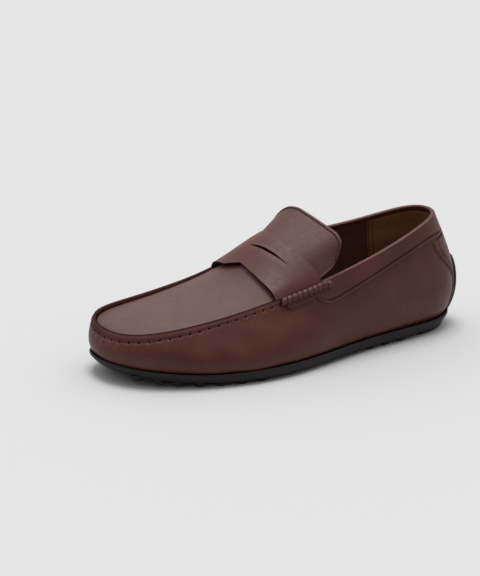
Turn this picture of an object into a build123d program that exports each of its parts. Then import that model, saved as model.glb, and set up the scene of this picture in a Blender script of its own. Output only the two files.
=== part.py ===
from build123d import *
import math
import os

os.makedirs("parts", exist_ok=True)

# A left driving moccasin: toe towards -Y, heel towards +Y, the outer (lateral) side on +X.
# The upper is drawn from two rings of stations, SOLE below and RIM above. Station 0 is the back of
# the heel, 1 to 12 run forward on the lateral side, 13 is the toe, 14 to 25 return on the medial side.

SOLE = [(-4, 139), (13, 133.5), (22.5, 118), (26.5, 97), (29.5, 76), (33.5, 46), (42.5, 14), (50, -14),
        (52.5, -40), (49.5, -67), (41.5, -94), (28, -120), (9.5, -138), (-12, -146),
        (-32, -142), (-45.5, -127), (-51, -102), (-52, -75), (-49, -46), (-42.5, -17),
        (-38, 12), (-35.5, 42), (-35, 72), (-33.5, 98), (-30, 119), (-20.5, 133.5)]
RIM = [(-4, 124.5, 87), (8, 120.5, 86), (15.5, 108, 83), (19.5, 90, 77), (23, 67, 69.5), (27.5, 38, 62.7),
       (31.5, 12, 57.5), (33, -14, 52.5), (33, -40, 48), (32, -68, 43.5), (29.5, -92, 40.5), (22.5, -115, 37),
       (8, -132, 34.5), (-13, -139, 34.5), (-33, -138, 37), (-44, -126, 39.5), (-42.5, -99, 43), (-41, -74, 47.5),
       (-38.5, -48, 53.5), (-36.5, -18, 65), (-35.5, 10, 73), (-33.5, 38, 74), (-31, 66, 76.5), (-27.5, 89, 80.5),
       (-22, 108, 85), (-15, 120, 87)]
STATIONS = len(SOLE)
TOE = 13

# heights above the ground at the ball of the foot
STUD_HEIGHT = 2.6
SOLE_TOP = 6.5
LIP_TOP = 9.2
TOE_SPRING = 6.0
HEEL_LIFT = 2.5
HEEL_STEP = 0.8
TREAD_TOP = 4.6
TREAD_INSET = 2.5

# wall shape
LIP_WIDTH = 1.8
WALL_INSET = 2.5
FOOT_DROP = 0.3
WALL_BULGE = 6.5
WALL_SHOULDER = 7.0
HEEL_BELLY = 7.0
HEEL_SHOULDER = 3.5
TOE_TUCK = 2.6

# material thicknesses
LEATHER = 1.6
STRAP_LEATHER = 1.8
LINING = 0.9
BOARD = 2.0
FOAM = 3.5
TONGUE_LEATHER = 1.4
SOCK = 1.0
RUBBER_TAB = 1.8
THREAD = 0.8
STRIP = 1.2
COUNTER = 1.2
GAP = 0.12

# where the layers end
FILL_INSET = 4.6
HEEL_SLOT = 0.06
LINING_FOOT = 0.16
LINING_TOP = 0.97
HEEL_LINING_REACH = 3.35
QUARTER_END = 7.1
COLLAR_REACH = 5.78
COLLAR_SEAM = 0.01
TAB_OFFSET = 1.5
STUD_RADIUS = 4.5
STUD_PITCH = 14.5
WAIST = (-38, 52)
LUG_START = 95

# the strap and the plug, measured in stations from the toe
CROWN_RATE = 1.6
CROWN_RISE = 6.3
CROWN_POWER = 0.62
COVER_SWEEP = 12.4
COVER_SKEW = 0.13
MEDIAL_SHIFT = 0.22
PLUG_DROP = 2.0
PLUG_END = 5.75
PLUG_CAP = 0.9
PLUG_INSET = 2.1
STRAP_FRONT = 5.2
STRAP_BACK = 6.95
STRAP_LIFT = 1.8
NOTCH_POINTS = [(45, -24), (-9.4, -32.4), (-21, -39), (-50, -41)]
SLIT_POINTS = [(-15, -20.6), (1.5, -14.6), (18.3, -9.4), (1.6, -17)]
TONGUE_ROOT_STATION = 6.8
TONGUE_CLEARANCE = 1.4
ROLL_RADIUS = 2.8
ROLL_LINE = 0.935
ROLL_FRONT = 5.65
ROLL_BACK = 7.15
COLLAR_EDGE = 0.76
BACKSTAY_REACH = 0.85
BACKSTAY_FLARE = 1.0
TAB_REACH = 0.6
TAB_TOP = 0.54


def ring_point(ring, u):
    """Point on the closed uniform cubic B-spline of a ring, at station u."""
    whole = math.floor(u)
    f = u - whole
    weights = ((1 - f) ** 3, 3 * f**3 - 6 * f**2 + 4, -3 * f**3 + 3 * f**2 + 3 * f + 1, f**3)
    points = [ring[(whole + k - 1) % STATIONS] for k in range(4)]
    return Vector(*[sum(w * p[a] for w, p in zip(weights, points)) / 6 for a in range(len(ring[0]))])


def outward(u):
    """Unit vector in plan, pointing away from the shoe at station u."""
    along = ring_point(SOLE, u + 0.05) - ring_point(SOLE, u - 0.05)
    return Vector(-along.Y, along.X).normalized()


def lift(y):
    """How far the underside has risen at y: the toe spring, and the curve behind the heel."""
    toe = max(0.0, (-62 - y) / 78)
    heel = max(0.0, (y - 108) / 30)
    return TOE_SPRING * toe**1.8 + HEEL_LIFT * heel**2


def ease(x, start, end):
    """Rises smoothly from 0 at start to 1 at end."""
    t = min(1.0, max(0.0, (x - start) / (end - start)))
    return t * t * (3 - 2 * t)


def near(u, station, reach):
    """1 at a station, falling smoothly to 0 some way round the ring."""
    away = (u - station + STATIONS / 2) % STATIONS - STATIONS / 2
    return math.exp(-(away / reach) ** 2)


def outline_point(u, inset):
    """Point on the sole's outline moved inwards, with its height lifted by the underside."""
    p = ring_point(SOLE, u) - outward(u) * inset
    return Vector(p.X, p.Y, lift(p.Y))


def skin(u, v):
    """Outer surface of the wall: v = 0 on the rubber rim, v = 1 on the top edge."""
    foot = outline_point(u, WALL_INSET)
    foot += Vector(0, 0, LIP_TOP + HEEL_STEP * ease(foot.Y, 10, 90) - FOOT_DROP)
    top = ring_point(RIM, u)
    rise = top.Z - foot.Z
    heel = near(u, 0, 2.2)
    tuck = TOE_TUCK * near(u, TOE + 1, 2.5)
    belly = foot + outward(u) * (WALL_BULGE + HEEL_BELLY * heel - tuck) + Vector(0, 0, 0.3 * rise)
    shoulder = top + outward(u) * (WALL_SHOULDER + HEEL_SHOULDER * heel - tuck) - Vector(0, 0, 0.35 * rise)
    w = 1 - v
    return foot * w**3 + belly * (3 * v * w * w) + shoulder * (3 * v * v * w) + top * v**3


def skin_normal(u, v):
    """Unit normal of the wall, pointing outwards."""
    around = skin(u + 0.02, v) - skin(u - 0.02, v)
    up = skin(u, min(v + 0.02, 1)) - skin(u, max(v - 0.02, 0))
    return up.cross(around).normalized()


def wall(u, v, offset=0.0):
    """Point at a distance outside (or, if negative, inside) the wall's outer surface."""
    return skin(u, v) + skin_normal(u, v) * offset


def wall_face(start, end, low, high, offset, step=0.34, rows=7):
    """Smooth face along the wall between two stations and two heights. It looks into the shoe."""
    columns = round((end - start) / step)
    return Face.make_surface_from_array_of_points(
        [[wall(start + (end - start) * i / columns, low + (high - low) * j / rows, offset)
          for j in range(rows + 1)] for i in range(columns + 1)])


def backstay_reach(v):
    """Half the width of the backstay in stations: it flares towards the collar."""
    return BACKSTAY_REACH + BACKSTAY_FLARE * ease(v, 0.35, COLLAR_EDGE)


def plan(inset):
    """Points of the sole's closed outline, moved inwards."""
    return [(p.X, p.Y) for p in (outline_point(i / 2, inset) for i in range(2 * STATIONS))]


def side_band(low, high, heel_step):
    """Points of the side view of a layer that follows the lifted underside, as (y, z)."""
    stops = [-160 + 10 * i for i in range(33)]
    return ([(y, lift(y) + low) for y in stops],
            [(y, lift(y) + high + heel_step * ease(y, 10, 90)) for y in stops])


def slab(inset, low, high, heel_step=0.0):
    """Flat layer of the shoe's bottom: the outline, trimmed above and below in side view. heel_step
    is how much higher its top is at the heel."""
    with BuildPart() as layer:
        with BuildSketch(Plane.XY.offset(-5)):
            with BuildLine():
                Spline(*plan(inset), periodic=True)
            make_face()
        extrude(amount=60)
        under, over = side_band(low, high, heel_step)
        with BuildSketch(Plane.YZ):
            with BuildLine():
                Spline(*under)
                Spline(*over)
                Line(under[0], over[0])
                Line(under[-1], over[-1])
            make_face()
        extrude(amount=80, both=True, mode=Mode.INTERSECT)
    return layer.part


def cover_point(a, w):
    """Point of the top of the shoe. a runs from the medial edge (0) to the lateral edge (1), and w
    counts stations back from the toe. Towards the instep the crown leans to the medial side."""
    instep = ease(w, 2.5, 6)
    medial = ring_point(RIM, TOE + w - MEDIAL_SHIFT * ease(w, 3, 6.5))
    lateral = ring_point(RIM, TOE - w)
    skewed = min(1.0, max(0.0, a)) ** (1 - COVER_SKEW * instep)
    arch = max(0.0, 4 * skewed * (1 - skewed))
    sweep = COVER_SWEEP * max(0.0, w - STRAP_FRONT) / (STRAP_BACK - STRAP_FRONT)
    crown = (CROWN_RATE * w + CROWN_RISE * ease(w, STRAP_FRONT, STRAP_BACK)) * arch**CROWN_POWER
    return medial + (lateral - medial) * a + Vector(0, -sweep * arch, crown)


def on_wall(u, v, along, length, offset=THREAD / 2 + GAP):
    """A box of thread lying on the wall, along (a step in u, a step in v)."""
    du, dv = along
    run = wall(u + du, v + dv, offset) - wall(u - du, v - dv, offset)
    place = Plane(origin=wall(u, v, offset), x_dir=run, z_dir=skin_normal(u, v))
    return place * Box(length, THREAD, THREAD, mode=Mode.PRIVATE)


def steps(start, end, count):
    """Evenly spaced values from start to end, both included."""
    return [start + (end - start) * i / (count - 1) for i in range(count)]


def save(piece, label):
    """Label a finished piece and write it as its own STEP file."""
    piece.part.label = label
    export_step(piece.part, f"parts/{label}.step")
    print(label, len(piece.part.solids()), round(piece.part.volume), piece.part.is_valid)


# outsole: base with a rim round the leather, studs round the edge and across the tread, a solid lug
# behind the heel and a tab up the back
edge_studs = []
travelled = 0.0
for before, after in zip(steps(0, STATIONS, 1301), steps(0, STATIONS, 1301)[1:]):
    spot = outline_point(after, TREAD_INSET + STUD_RADIUS + 0.4)
    travelled += (spot - outline_point(before, TREAD_INSET + STUD_RADIUS + 0.4)).length
    if travelled > STUD_PITCH:
        travelled -= STUD_PITCH
        edge_studs.append((spot.X, spot.Y))
stud_field = Face(Wire.make_polygon([(x, y, 0) for x, y in plan(16)]))
field_studs = [(x, y) for y in range(-122, 130, 14) for x in range(-39, 46, 14)
               if stud_field.is_inside((x, y, 0))]
studs = [(x, y) for x, y in edge_studs + field_studs if not WAIST[0] < y < WAIST[1] and lift(y) < 1.2 and y < LUG_START - 6]
with BuildPart() as heel_lug:
    add(slab(TREAD_INSET + 1, 0, STUD_HEIGHT + 1))
    add(slab(TREAD_INSET + 11, -2, STUD_HEIGHT + 3), mode=Mode.SUBTRACT)
    with Locations((0, LUG_START + 50, 10)):
        Box(120, 100, 60, mode=Mode.INTERSECT)
with BuildPart() as outsole:
    add(slab(0, TREAD_TOP, LIP_TOP, HEEL_STEP))
    add(slab(TREAD_INSET, STUD_HEIGHT, LIP_TOP))
    add(slab(LIP_WIDTH, SOLE_TOP, LIP_TOP + 8), mode=Mode.SUBTRACT)
    thicken(wall_face(-TAB_REACH, TAB_REACH, 0, TAB_TOP, TAB_OFFSET + RUBBER_TAB, step=0.1),
            amount=RUBBER_TAB)
    with BuildSketch():
        with Locations(*studs):
            Circle(STUD_RADIUS)
    extrude(amount=STUD_HEIGHT + 1, taper=-4)
    add(heel_lug.part)
save(outsole, "outsole")

# wrapper: a bottom with a short upright edge inside the rim, and the wall standing just above that edge,
# open at the heel seam
with BuildPart() as wrapper:
    add(slab(LIP_WIDTH + GAP, SOLE_TOP + GAP, LIP_TOP - FOOT_DROP - GAP))
    add(slab(LIP_WIDTH + GAP + LEATHER, SOLE_TOP + GAP + LEATHER, LIP_TOP + 5), mode=Mode.SUBTRACT)
    thicken(wall_face(HEEL_SLOT, STATIONS - HEEL_SLOT, 0, 1, 0), amount=LEATHER)
save(wrapper, "wrapper")

# layers underfoot, from the board up
board_low = SOLE_TOP + LEATHER + 2 * GAP
with BuildPart() as insole_board:
    add(slab(FILL_INSET, board_low, board_low + BOARD))
save(insole_board, "insole_board")

foam_low = board_low + BOARD + GAP
with BuildPart() as footbed_foam:
    add(slab(FILL_INSET, foam_low, foam_low + FOAM))
save(footbed_foam, "footbed_foam")

sock_low = foam_low + FOAM + GAP
with BuildPart() as sock_liner:
    add(slab(FILL_INSET, sock_low, sock_low + SOCK))
save(sock_liner, "sock_liner")

# heel: stiffener, suede lining inside it, strip over the seam outside
with BuildPart() as heel_counter:
    thicken(wall_face(-3.2, 3.2, LINING_FOOT, 0.7, -LEATHER - GAP), amount=COUNTER)
save(heel_counter, "heel_counter")

with BuildPart() as heel_lining:
    thicken(wall_face(-HEEL_LINING_REACH, HEEL_LINING_REACH, LINING_FOOT, LINING_TOP,
                      -LEATHER - COUNTER - 2 * GAP), amount=LINING)
save(heel_lining, "heel_lining")

with BuildPart() as backstay:
    thicken(Face.make_surface_from_array_of_points(
        [[wall(side * backstay_reach(v), v, STRIP + GAP) for v in steps(0.04, COLLAR_EDGE - 0.02, 8)]
         for side in steps(-1, 1, 13)]), amount=STRIP)
save(backstay, "backstay")

# the collar's two halves meet in a seam at the back of the heel
with BuildPart() as topline_collar:
    for start, end in ((-COLLAR_REACH, -COLLAR_SEAM), (COLLAR_SEAM, COLLAR_REACH)):
        thicken(wall_face(start, end, COLLAR_EDGE, 1, STRIP + GAP), amount=STRIP)
save(topline_collar, "topline_collar")

# linings of the sides and of the toe box
side_linings = {
    "quarter_lining_lateral": (HEEL_LINING_REACH + 0.1, QUARTER_END),
    "quarter_lining_medial": (STATIONS - QUARTER_END, STATIONS - HEEL_LINING_REACH - 0.1),
    "vamp_lining": (QUARTER_END + 0.1, STATIONS - QUARTER_END - 0.1),
}
for label, (start, end) in side_linings.items():
    top = 0.93 if label == "vamp_lining" else LINING_TOP
    with BuildPart() as lining:
        thicken(wall_face(start, end, LINING_FOOT, top, -LEATHER - GAP), amount=LINING)
    save(lining, label)

# apron: the grained plug, domed between the seams and running back under the strap. Its surface is
# carried a little past the toe and then trimmed to the plug's outline.
plug_rows = [[cover_point(a, w) - Vector(0, 0, PLUG_DROP) for a in steps(-0.12, 1.12, 15)]
             for w in steps(PLUG_CAP, PLUG_END, 13)]
plug_rows.insert(0, [first + (first - second) for first, second in zip(plug_rows[0], plug_rows[1])])
plug_edge = [ring_point(RIM, TOE + w) - outward(TOE + w) * PLUG_INSET for w in steps(-PLUG_END, PLUG_END, 34)]
with BuildPart() as apron:
    thicken(Face.make_surface_from_array_of_points(plug_rows), amount=LEATHER)
    with BuildSketch():
        with BuildLine():
            Spline(*[(p.X, p.Y) for p in plug_edge])
            Line((plug_edge[-1].X, plug_edge[-1].Y), (plug_edge[0].X, plug_edge[0].Y))
        make_face()
    extrude(amount=100, mode=Mode.INTERSECT)
save(apron, "apron")

# saddle strap: arched over the instep, cut to a point in front, with an eye-shaped slit
with BuildPart() as saddle_strap:
    thicken(Face.make_surface_from_array_of_points(
        [[cover_point(a, w) + Vector(0, 0, STRAP_LIFT) for w in steps(STRAP_FRONT, STRAP_BACK, 9)]
         for a in [t**1.6 for t in steps(0, 1, 21)]]), amount=STRAP_LEATHER)
    with BuildSketch(Plane.XY.offset(30)):
        with BuildLine():
            Polyline(*NOTCH_POINTS, (-50, -80), (45, -80), close=True)
        make_face()
    extrude(amount=80, mode=Mode.SUBTRACT)
    with BuildSketch(Plane.XY.offset(30)):
        with BuildLine():
            Spline(SLIT_POINTS[0], SLIT_POINTS[1], SLIT_POINTS[2])
            Spline(SLIT_POINTS[2], SLIT_POINTS[3], SLIT_POINTS[0])
        make_face()
    extrude(amount=80, mode=Mode.SUBTRACT)
save(saddle_strap, "saddle_strap")

# tongue: leather and its smooth facing, ruled from a root under the strap to a rounded tip
tongue_root = Edge.make_spline([cover_point(a, TONGUE_ROOT_STATION) - Vector(0, 0, TONGUE_CLEARANCE)
                                for a in (0.02, 0.1, 0.25, 0.45, 0.65, 0.82, 0.985)])
tongue_tip = Edge.make_spline([(-33.5, 6, 82), (-33, 10.5, 88.3), (-31, 14, 94), (-27, 16.8, 97.6), (-19.5, 20, 99),
                               (-10, 22.3, 97.3), (2, 24.8, 94.5), (13, 27.1, 91.5), (20.5, 29.3, 88.5),
                               (25, 30.2, 84), (27.3, 27.5, 76), (29, 20.5, 66)])


def tongue_front(t, b):
    """Point of the tongue's front face: t across, b from root to tip."""
    root, tip = tongue_root.position_at(t), tongue_tip.position_at(t)
    return root + (tip - root) * b


def tongue_point(t, b, behind):
    """Point at a distance behind the tongue's front face, along the local normal."""
    across = tongue_front(min(t + 0.02, 1), b) - tongue_front(max(t - 0.02, 0), b)
    rise = tongue_front(t, 1) - tongue_front(t, 0)
    return tongue_front(t, b) + rise.cross(across).normalized() * behind


def tongue_face(behind):
    """Front face of one layer of the tongue."""
    return Face.make_surface_from_array_of_points(
        [[tongue_point(t, b, behind) for b in steps(0, 1, 6)] for t in steps(0, 1, 25)])


with BuildPart() as tongue:
    thicken(tongue_face(0), amount=-TONGUE_LEATHER)
save(tongue, "tongue")

with BuildPart() as tongue_facing:
    thicken(tongue_face(TONGUE_LEATHER + GAP), amount=-LINING)
save(tongue_facing, "tongue_facing")

# beef rolls: the seams rolled over a cord at both ends of the strap
for label, side in (("beef_roll_lateral", -1), ("beef_roll_medial", 1)):
    seam = [wall(TOE + side * w, ROLL_LINE, ROLL_RADIUS + GAP) for w in steps(ROLL_FRONT, ROLL_BACK, 5)]
    with BuildPart() as roll:
        with BuildLine():
            path = Spline(*seam)
        with BuildSketch(path ^ 0):
            Circle(ROLL_RADIUS)
        sweep()
    save(roll, label)
    with BuildPart() as whipping:
        for w in steps(ROLL_FRONT + 0.15, ROLL_BACK - 0.15, 7):
            add(on_wall(TOE + side * w, ROLL_LINE, (0, 0.03), 2.4, 2 * (ROLL_RADIUS + GAP) + THREAD / 2 + GAP))
    save(whipping, label.replace("beef_roll", "roll_stitching"))

# threads
with BuildPart() as apron_stitching:
    for w in steps(-5.2, 5.2, 32):
        add(on_wall(TOE + w, 0.93, (0, 0.03), 4))
save(apron_stitching, "apron_stitching")

with BuildPart() as collar_stitching:
    for u in steps(-5.6, 5.6, 83):
        add(on_wall(u, COLLAR_EDGE + 0.05, (0.03, 0), 1.9, STRIP + THREAD / 2 + 2 * GAP))
save(collar_stitching, "collar_stitching")

with BuildPart() as backstay_stitching:
    for side in (-0.88, 0.88):
        for v in steps(0.1, 0.7, 19):
            add(on_wall(side * backstay_reach(v), v, (0, 0.02), 1.6, STRIP + THREAD / 2 + 2 * GAP))
save(backstay_stitching, "backstay_stitching")

with BuildPart() as tongue_stitching:
    for t in steps(0.14, 0.86, 31):
        place = Plane(origin=tongue_point(t, 0.9, -THREAD / 2 - GAP),
                      x_dir=tongue_point(t + 0.01, 0.9, 0) - tongue_point(t - 0.01, 0.9, 0),
                      z_dir=tongue_point(t, 0.9, 1) - tongue_point(t, 0.9, 0))
        add(place * Box(1.9, THREAD, THREAD, mode=Mode.PRIVATE))
save(tongue_stitching, "tongue_stitching")
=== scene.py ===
"""The moccasin's visual model: leather, linings, thread and rubber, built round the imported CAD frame."""

import math

import bmesh
import bpy
import numpy as np
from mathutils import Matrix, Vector


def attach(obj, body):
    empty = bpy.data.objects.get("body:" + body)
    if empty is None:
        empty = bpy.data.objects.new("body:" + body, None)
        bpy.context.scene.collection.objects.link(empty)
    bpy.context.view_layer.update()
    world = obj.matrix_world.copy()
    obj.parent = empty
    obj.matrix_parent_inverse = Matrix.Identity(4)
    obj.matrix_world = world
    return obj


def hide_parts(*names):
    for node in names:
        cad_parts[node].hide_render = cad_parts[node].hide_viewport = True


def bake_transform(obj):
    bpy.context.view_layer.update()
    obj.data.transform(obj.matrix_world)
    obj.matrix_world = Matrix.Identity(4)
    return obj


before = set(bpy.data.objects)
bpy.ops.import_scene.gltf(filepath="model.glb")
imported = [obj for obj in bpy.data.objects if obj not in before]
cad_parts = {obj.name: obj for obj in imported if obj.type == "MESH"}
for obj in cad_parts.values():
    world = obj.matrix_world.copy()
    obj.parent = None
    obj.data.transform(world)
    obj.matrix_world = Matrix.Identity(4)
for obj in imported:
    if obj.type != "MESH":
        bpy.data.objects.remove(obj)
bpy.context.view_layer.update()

MM = 0.001
UPPER = "upper"

# The shoe's own design, in millimetres: toe towards -Y, heel towards +Y, outer side on +X.
# Station 0 is the back of the heel, 13 the toe; 1 to 12 are lateral, 14 to 25 medial.
SOLE = np.array([(-4, 139), (13, 133.5), (22.5, 118), (26.5, 97), (29.5, 76), (33.5, 46), (42.5, 14),
                 (50, -14), (52.5, -40), (49.5, -67), (41.5, -94), (28, -120), (9.5, -138), (-12, -146),
                 (-32, -142), (-45.5, -127), (-51, -102), (-52, -75), (-49, -46), (-42.5, -17),
                 (-38, 12), (-35.5, 42), (-35, 72), (-33.5, 98), (-30, 119), (-20.5, 133.5)])
RIM = np.array([(-4, 124.5, 87), (8, 120.5, 86), (15.5, 108, 83), (19.5, 90, 77), (23, 67, 69.5),
                (27.5, 38, 62.7), (31.5, 12, 57.5), (33, -14, 52.5), (33, -40, 48), (32, -68, 43.5),
                (29.5, -92, 40.5), (22.5, -115, 37), (8, -132, 34.5), (-13, -139, 34.5), (-33, -138, 37),
                (-44, -126, 39.5), (-42.5, -99, 43), (-41, -74, 47.5), (-38.5, -48, 53.5), (-36.5, -18, 65),
                (-35.5, 10, 73), (-33.5, 38, 74), (-31, 66, 76.5), (-27.5, 89, 80.5), (-22, 108, 85),
                (-15, 120, 87)])
STATIONS = 26
TOE = 13

STUD_HEIGHT = 2.6
SOLE_TOP = 6.5
LIP_TOP = 9.2
LIP_OVERLAP = 0.3
TOE_SPRING = 6.0
HEEL_LIFT = 2.5
HEEL_STEP = 0.8
STEP_RANGE = (10, 90)
TOE_SPRING_START = -62
HEEL_LIFT_START = 108
WALL_INSET = 2.5
WALL_BULGE = 6.5
WALL_SHOULDER = 7.0
HEEL_BELLY = 7.0
HEEL_SHOULDER = 3.5
TOE_TUCK = 2.6
CROWN_RATE = 1.6
CROWN_RISE = 6.3
CROWN_POWER = 0.62
COVER_SWEEP = 12.4
COVER_SKEW = 0.13
MEDIAL_SHIFT = 0.22

LEATHER = 1.6
FIN_END = 5.7
PLUG_DROP = 2.6
STITCH_DROP = 3.9
STITCH_RISE = 1.3
STITCH_PITCH = 6.9
STITCH_SHIFT = 2.0
STRAP_LIFT = 1.8
STRAP_THICKNESS = 1.8
STRAP_BACK = 6.95
NOTCH = [(-50, -41), (-21, -39), (-9.4, -32.4), (4, -31.6), (17, -30.1), (30, -27.5), (45, -24)]
SLIT_ENDS = (0.28, 0.80)
SLIT_WIDTH = 0.036
ROLL_RADIUS = 2.9
ROLL_DROP = 1.7
ROLL_STAND = 1.2
ROLL_FRONT = 5.62
ROLL_BACK = 7.22
ROLL_STITCHES = 10
COLLAR_REACH = 6.35
COLLAR_TURN = 5.72
COLLAR_INNER = -2.2
COLLAR_OUTER = 1.2
BACKSTAY_REACH = 0.85
BACKSTAY_FLARE = 1.05
SEAM_GROOVE = 2.6
LINING_JOINT = 3.15
LINING_TOP = 0.975
STUD_RADIUS = 4.5
STUD_PITCH = 14.5
STUD_INSET = 7.4
WAIST = (-38, 52)
LUG_START = 95
LUG_REACH = 2.9


# ---------------------------------------------------------------- geometry of the shoe

def smooth(x, lo, hi):
    """0 below lo, 1 above hi and a smooth step between them."""
    t = np.clip((x - lo) / (hi - lo), 0, 1)
    return t * t * (3 - 2 * t)


def near(u, station, reach):
    """1 at a station, falling smoothly to 0 some way round the ring."""
    away = (u - station + STATIONS / 2) % STATIONS - STATIONS / 2
    return np.exp(-((away / reach) ** 2))


def bump(x, width):
    """A smooth hump of height 1 at x = 0."""
    return np.exp(-((x / width) ** 2))


def spline(ring, u):
    """Points on the closed uniform cubic B-spline of a ring, at stations u."""
    u = np.asarray(u, float)
    whole = np.floor(u).astype(int)
    f = (u - whole)[..., None]
    weights = ((1 - f) ** 3, 3 * f**3 - 6 * f**2 + 4, -3 * f**3 + 3 * f**2 + 3 * f + 1, f**3)
    return sum(w * ring[(whole + k - 1) % len(ring)] for k, w in enumerate(weights)) / 6


def flat(xy, z):
    """Plan points raised to z."""
    return np.concatenate([xy, np.broadcast_to(z, xy.shape[:-1])[..., None]], -1)


def outward(u):
    """Unit vectors in plan, pointing away from the shoe."""
    along = spline(SOLE, np.asarray(u) + 0.05) - spline(SOLE, np.asarray(u) - 0.05)
    out = np.stack([-along[..., 1], along[..., 0]], -1)
    return flat(out / np.linalg.norm(out, axis=-1, keepdims=True), 0.0)


def lift(y):
    """Rise of the underside: toe spring and the curve behind the heel."""
    toe = np.clip((TOE_SPRING_START - y) / 78, 0, None)
    heel = np.clip((y - HEEL_LIFT_START) / 30, 0, None)
    return TOE_SPRING * toe**1.8 + HEEL_LIFT * heel**2


def outline(u, inset):
    """Points of the sole's outline, moved inwards and lifted."""
    p = flat(spline(SOLE, u), 0.0) - outward(u) * np.asarray(inset)[..., None]
    p[..., 2] = lift(p[..., 1])
    return p


def skin(u, v):
    """Outer surface of the wall: v = 0 on the rubber rim, v = 1 on the top edge."""
    u, v = np.broadcast_arrays(np.asarray(u, float), np.asarray(v, float))
    up = np.array([0, 0, 1.0])
    foot = outline(u, WALL_INSET)
    foot[..., 2] += LIP_TOP + HEEL_STEP * smooth(foot[..., 1], *STEP_RANGE) - LIP_OVERLAP
    top = spline(RIM, u)
    rise = (top[..., 2] - foot[..., 2])[..., None]
    heel = near(u, 0, 2.2)[..., None]
    tuck = TOE_TUCK * near(u, TOE + 1, 2.5)[..., None]
    out = outward(u)
    belly = foot + out * (WALL_BULGE + HEEL_BELLY * heel - tuck) + up * rise * 0.3
    shoulder = top + out * (WALL_SHOULDER + HEEL_SHOULDER * heel - tuck) - up * rise * 0.35
    v = v[..., None]
    w = 1 - v
    return foot * w**3 + belly * 3 * v * w * w + shoulder * 3 * v * v * w + top * v**3


def skin_normal(u, v):
    """Unit vectors square to the wall's outer surface, pointing outwards."""
    around = skin(u + 0.02, v) - skin(u - 0.02, v)
    up = skin(u, np.minimum(v + 0.02, 1)) - skin(u, np.minimum(v + 0.02, 1) - 0.04)
    n = np.cross(up, around)
    return n / np.linalg.norm(n, axis=-1, keepdims=True)


def wall(u, v, offset=0.0):
    """Points outside (or, if negative, inside) the wall's outer surface."""
    u, v = np.broadcast_arrays(np.asarray(u, float), np.asarray(v, float))
    return skin(u, v) + skin_normal(u, v) * np.asarray(offset)[..., None]


def cover(a, w, drop=0.0, inset=0.0):
    """Top of the shoe: a from the medial edge (0) to the lateral edge (1), w stations back from the toe.
    Towards the instep the crown leans to the medial side. drop and inset lower and narrow it at its edges."""
    a, w = np.broadcast_arrays(np.asarray(a, float), np.asarray(w, float))
    instep = smooth(w, 2.5, 6)
    down = np.array([0, 0, drop])
    medial_u = TOE + w - MEDIAL_SHIFT * smooth(w, 3, 6.5)
    medial = spline(RIM, medial_u) - outward(medial_u) * inset - down
    lateral = spline(RIM, TOE - w) - outward(TOE - w) * inset - down
    skewed = a ** (1 - COVER_SKEW * instep)
    arch = np.clip(4 * skewed * (1 - skewed), 0, None)
    sweep = COVER_SWEEP * np.clip((w - 5.2) / 1.75, 0, None)
    middle = medial + (lateral - medial) * a[..., None]
    middle[..., 1] -= sweep * arch
    middle[..., 2] += (CROWN_RATE * w + CROWN_RISE * smooth(w, 5.2, 6.95)) * arch**CROWN_POWER
    return middle


# ---------------------------------------------------------------- mesh building

def new_object(name, vertices, faces, materials, smooth_shading=True):
    """A mesh object from vertices in millimetres."""
    mesh = bpy.data.meshes.new(name)
    mesh.from_pydata([tuple(p) for p in np.asarray(vertices) * MM], [], faces)
    mesh.validate()
    for polygon in mesh.polygons:
        polygon.use_smooth = smooth_shading
    obj = bpy.data.objects.new(name, mesh)
    bpy.context.scene.collection.objects.link(obj)
    for material in materials:
        obj.data.materials.append(material)
    return obj


def grid_faces(n, m, closed_u=False, closed_v=False, base=0):
    """Faces over n rows of m vertices, numbered from base. closed_u joins the last row to the first,
    closed_v the last column to the first."""
    faces = []
    for i in range(n if closed_u else n - 1):
        for j in range(m if closed_v else m - 1):
            a, b = (i + 1) % n, (j + 1) % m
            faces.append((base + i * m + j, base + a * m + j, base + a * m + b, base + i * m + b))
    return faces


def grid_object(name, points, materials, closed_u=False, closed_v=False, flip=False):
    """An object from a grid of points. flip turns its faces over."""
    n, m = points.shape[:2]
    faces = grid_faces(n, m, closed_u, closed_v)
    if flip:
        faces = [tuple(reversed(f)) for f in faces]
    return new_object(name, points.reshape(-1, 3), faces, materials)


def thicken(obj, thickness, rim=None):
    """Gives a sheet its thickness behind its front face. rim is the material slot of the cut edge."""
    mod = obj.modifiers.new("thickness", "SOLIDIFY")
    mod.thickness = thickness * MM
    mod.offset = -1
    mod.use_even_offset = False
    if rim is not None:
        mod.material_offset_rim = rim
    return obj


def tube_points(path, radius, sides, up):
    """Rings of points round a path. radius is a number or one per path point."""
    path = np.asarray(path, float)
    tangent = np.gradient(path, axis=0)
    tangent /= np.linalg.norm(tangent, axis=1, keepdims=True)
    side = np.cross(tangent, np.asarray(up, float))
    side /= np.linalg.norm(side, axis=1, keepdims=True)
    lift_dir = np.cross(side, tangent)
    angle = np.linspace(0, 2 * math.pi, sides, endpoint=False)
    radius = np.broadcast_to(np.asarray(radius, float), (len(path),))
    ring = side[:, None] * np.cos(angle)[None, :, None] + lift_dir[:, None] * np.sin(angle)[None, :, None]
    return path[:, None] + ring * radius[:, None, None]


def threads(name, paths, radius, material, sides=8):
    """One object of many short tubes with tapered ends sunk into the leather: threads, and near-black bits of
    painted shade in the beef rolls' stitch holes.
    """
    vertices, faces = [], []
    for path in paths:
        n = len(path)
        taper = np.sin(np.linspace(0.15, math.pi - 0.15, n)) ** 0.35
        points = tube_points(path, radius * taper, sides, up=(0.01, 0.02, 1))
        base = len(vertices)
        vertices.extend(points.reshape(-1, 3))
        faces.extend(grid_faces(n, sides, closed_v=True, base=base))
        faces.append(tuple(base + k for k in reversed(range(sides))))
        faces.append(tuple(base + (n - 1) * sides + k for k in range(sides)))
    return new_object(name, vertices, faces, [material])


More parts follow.
